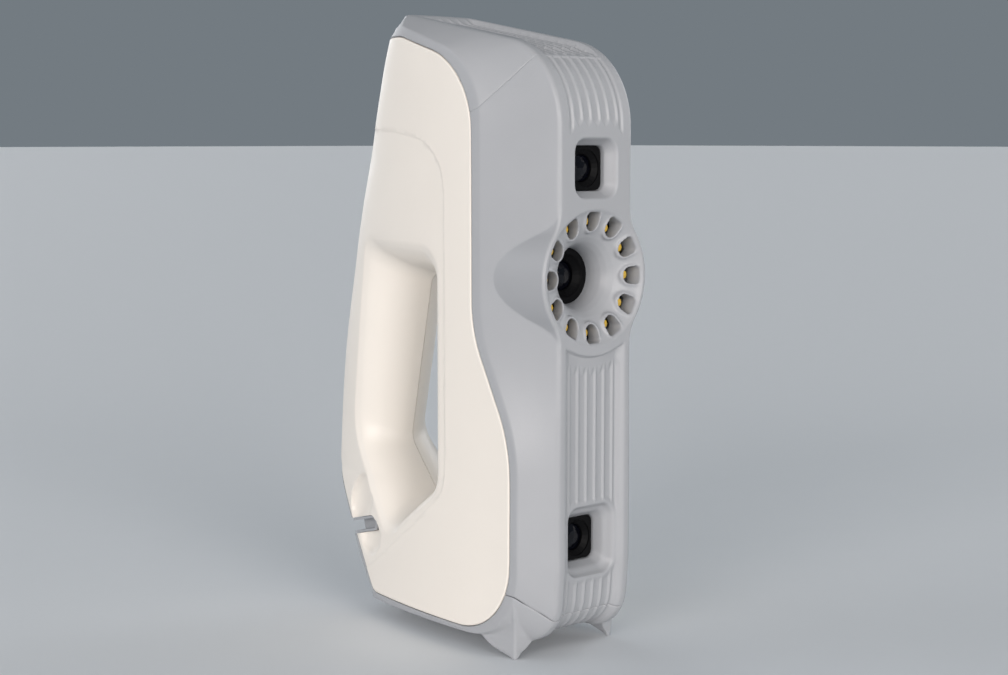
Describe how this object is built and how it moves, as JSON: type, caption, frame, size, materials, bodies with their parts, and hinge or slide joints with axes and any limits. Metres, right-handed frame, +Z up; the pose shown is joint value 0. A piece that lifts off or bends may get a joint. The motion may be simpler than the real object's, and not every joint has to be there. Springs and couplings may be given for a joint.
{
  "type": "handheld 3d scanner",
  "caption": "Tall handheld structured-light scanner with a hand hole, a flash ring around a camera, two camera windows, ribbed vents, a rear rocker button and spur feet.",
  "frame": {"origin": "under the middle of the overall box, level with the tips of the feet", "axes": "+Z up along the tall body, +X across the body, -Y the way the optics look, +Y the grip side"},
  "size_m": [0.063, 0.1564, 0.2595],
  "materials": {
    "grey_shell": "fine textured moulding",
    "cream_shell": "satin moulding",
    "black_plastic": "matt black moulding",
    "lens_glass": "coated optical glass",
    "aluminium": "satin",
    "steel": "plated",
    "board": "solder resist",
    "phosphor": "silicone dome",
    "rubber": "matt",
    "light_pipe": "clear moulding"
  },
  "bodies": {
    "scanner_body": {"bottom_cap": "grey_shell", "button_board": "board", "button_pin": "steel", "chassis_plate": "aluminium", "data_socket": "steel", "fan_frame": "black_plastic", "flash_board": "board", "flash_led_01": "phosphor", "flash_led_02": "phosphor", "flash_led_03": "phosphor", "flash_led_04": "phosphor", "flash_led_05": "phosphor", "flash_led_06": "phosphor", "flash_led_07": "phosphor", "flash_led_08": "phosphor", "flash_led_09": "phosphor", "flash_led_10": "phosphor", "flash_led_11": "phosphor", "flash_led_12": "phosphor", "front_bezel": "grey_shell", "heat_sink": "aluminium", "left_cover": "cream_shell", "lower_camera_body": "black_plastic", "lower_camera_hood": "black_plastic", "lower_camera_lens": "lens_glass", "main_board": "board", "notch_liner": "grey_shell", "power_jack": "black_plastic", "rear_foot": "rubber", "rear_spine": "grey_shell", "right_cover": "cream_shell", "status_window": "light_pipe", "texture_camera_barrel": "black_plastic", "texture_camera_body": "black_plastic", "texture_camera_lens": "lens_glass", "top_cap": "grey_shell", "upper_camera_body": "black_plastic", "upper_camera_hood": "black_plastic", "upper_camera_lens": "lens_glass"},
    "rocker": {"scan_button": "aluminium"},
    "start_switch": {"start_plunger": "black_plastic"},
    "stop_switch": {"stop_plunger": "black_plastic"},
    "fan": {"fan_rotor": "black_plastic"}
  },
  "joints": [
    {"name": "rocker_tilt", "type": "hinge", "parent": "scanner_body", "child": "rocker", "pos_m": [0, 0.0467, 0.19026], "axis": [1, 0, 0], "range_deg": [-3, 3], "stiffness_Nm_per_rad": 0.02},
    {"name": "start_press", "type": "slide", "parent": "scanner_body", "child": "start_switch", "axis": [0, -0.9468, -0.3218], "range_m": [-0.0005, 0.0005]},
    {"name": "stop_press", "type": "slide", "parent": "scanner_body", "child": "stop_switch", "axis": [0, -0.9468, -0.3218], "range_m": [-0.0005, 0.0005]},
    {"name": "fan_spin", "type": "hinge", "parent": "scanner_body", "child": "fan", "pos_m": [0, -0.0061, 0.205], "axis": [0, 0, 1], "continuous": true}
  ],
  "couplings": [
    {"joint": "start_press", "follows": "rocker_tilt", "m_per_rad": 0.009},
    {"joint": "stop_press", "follows": "rocker_tilt", "m_per_rad": -0.009}
  ]
}
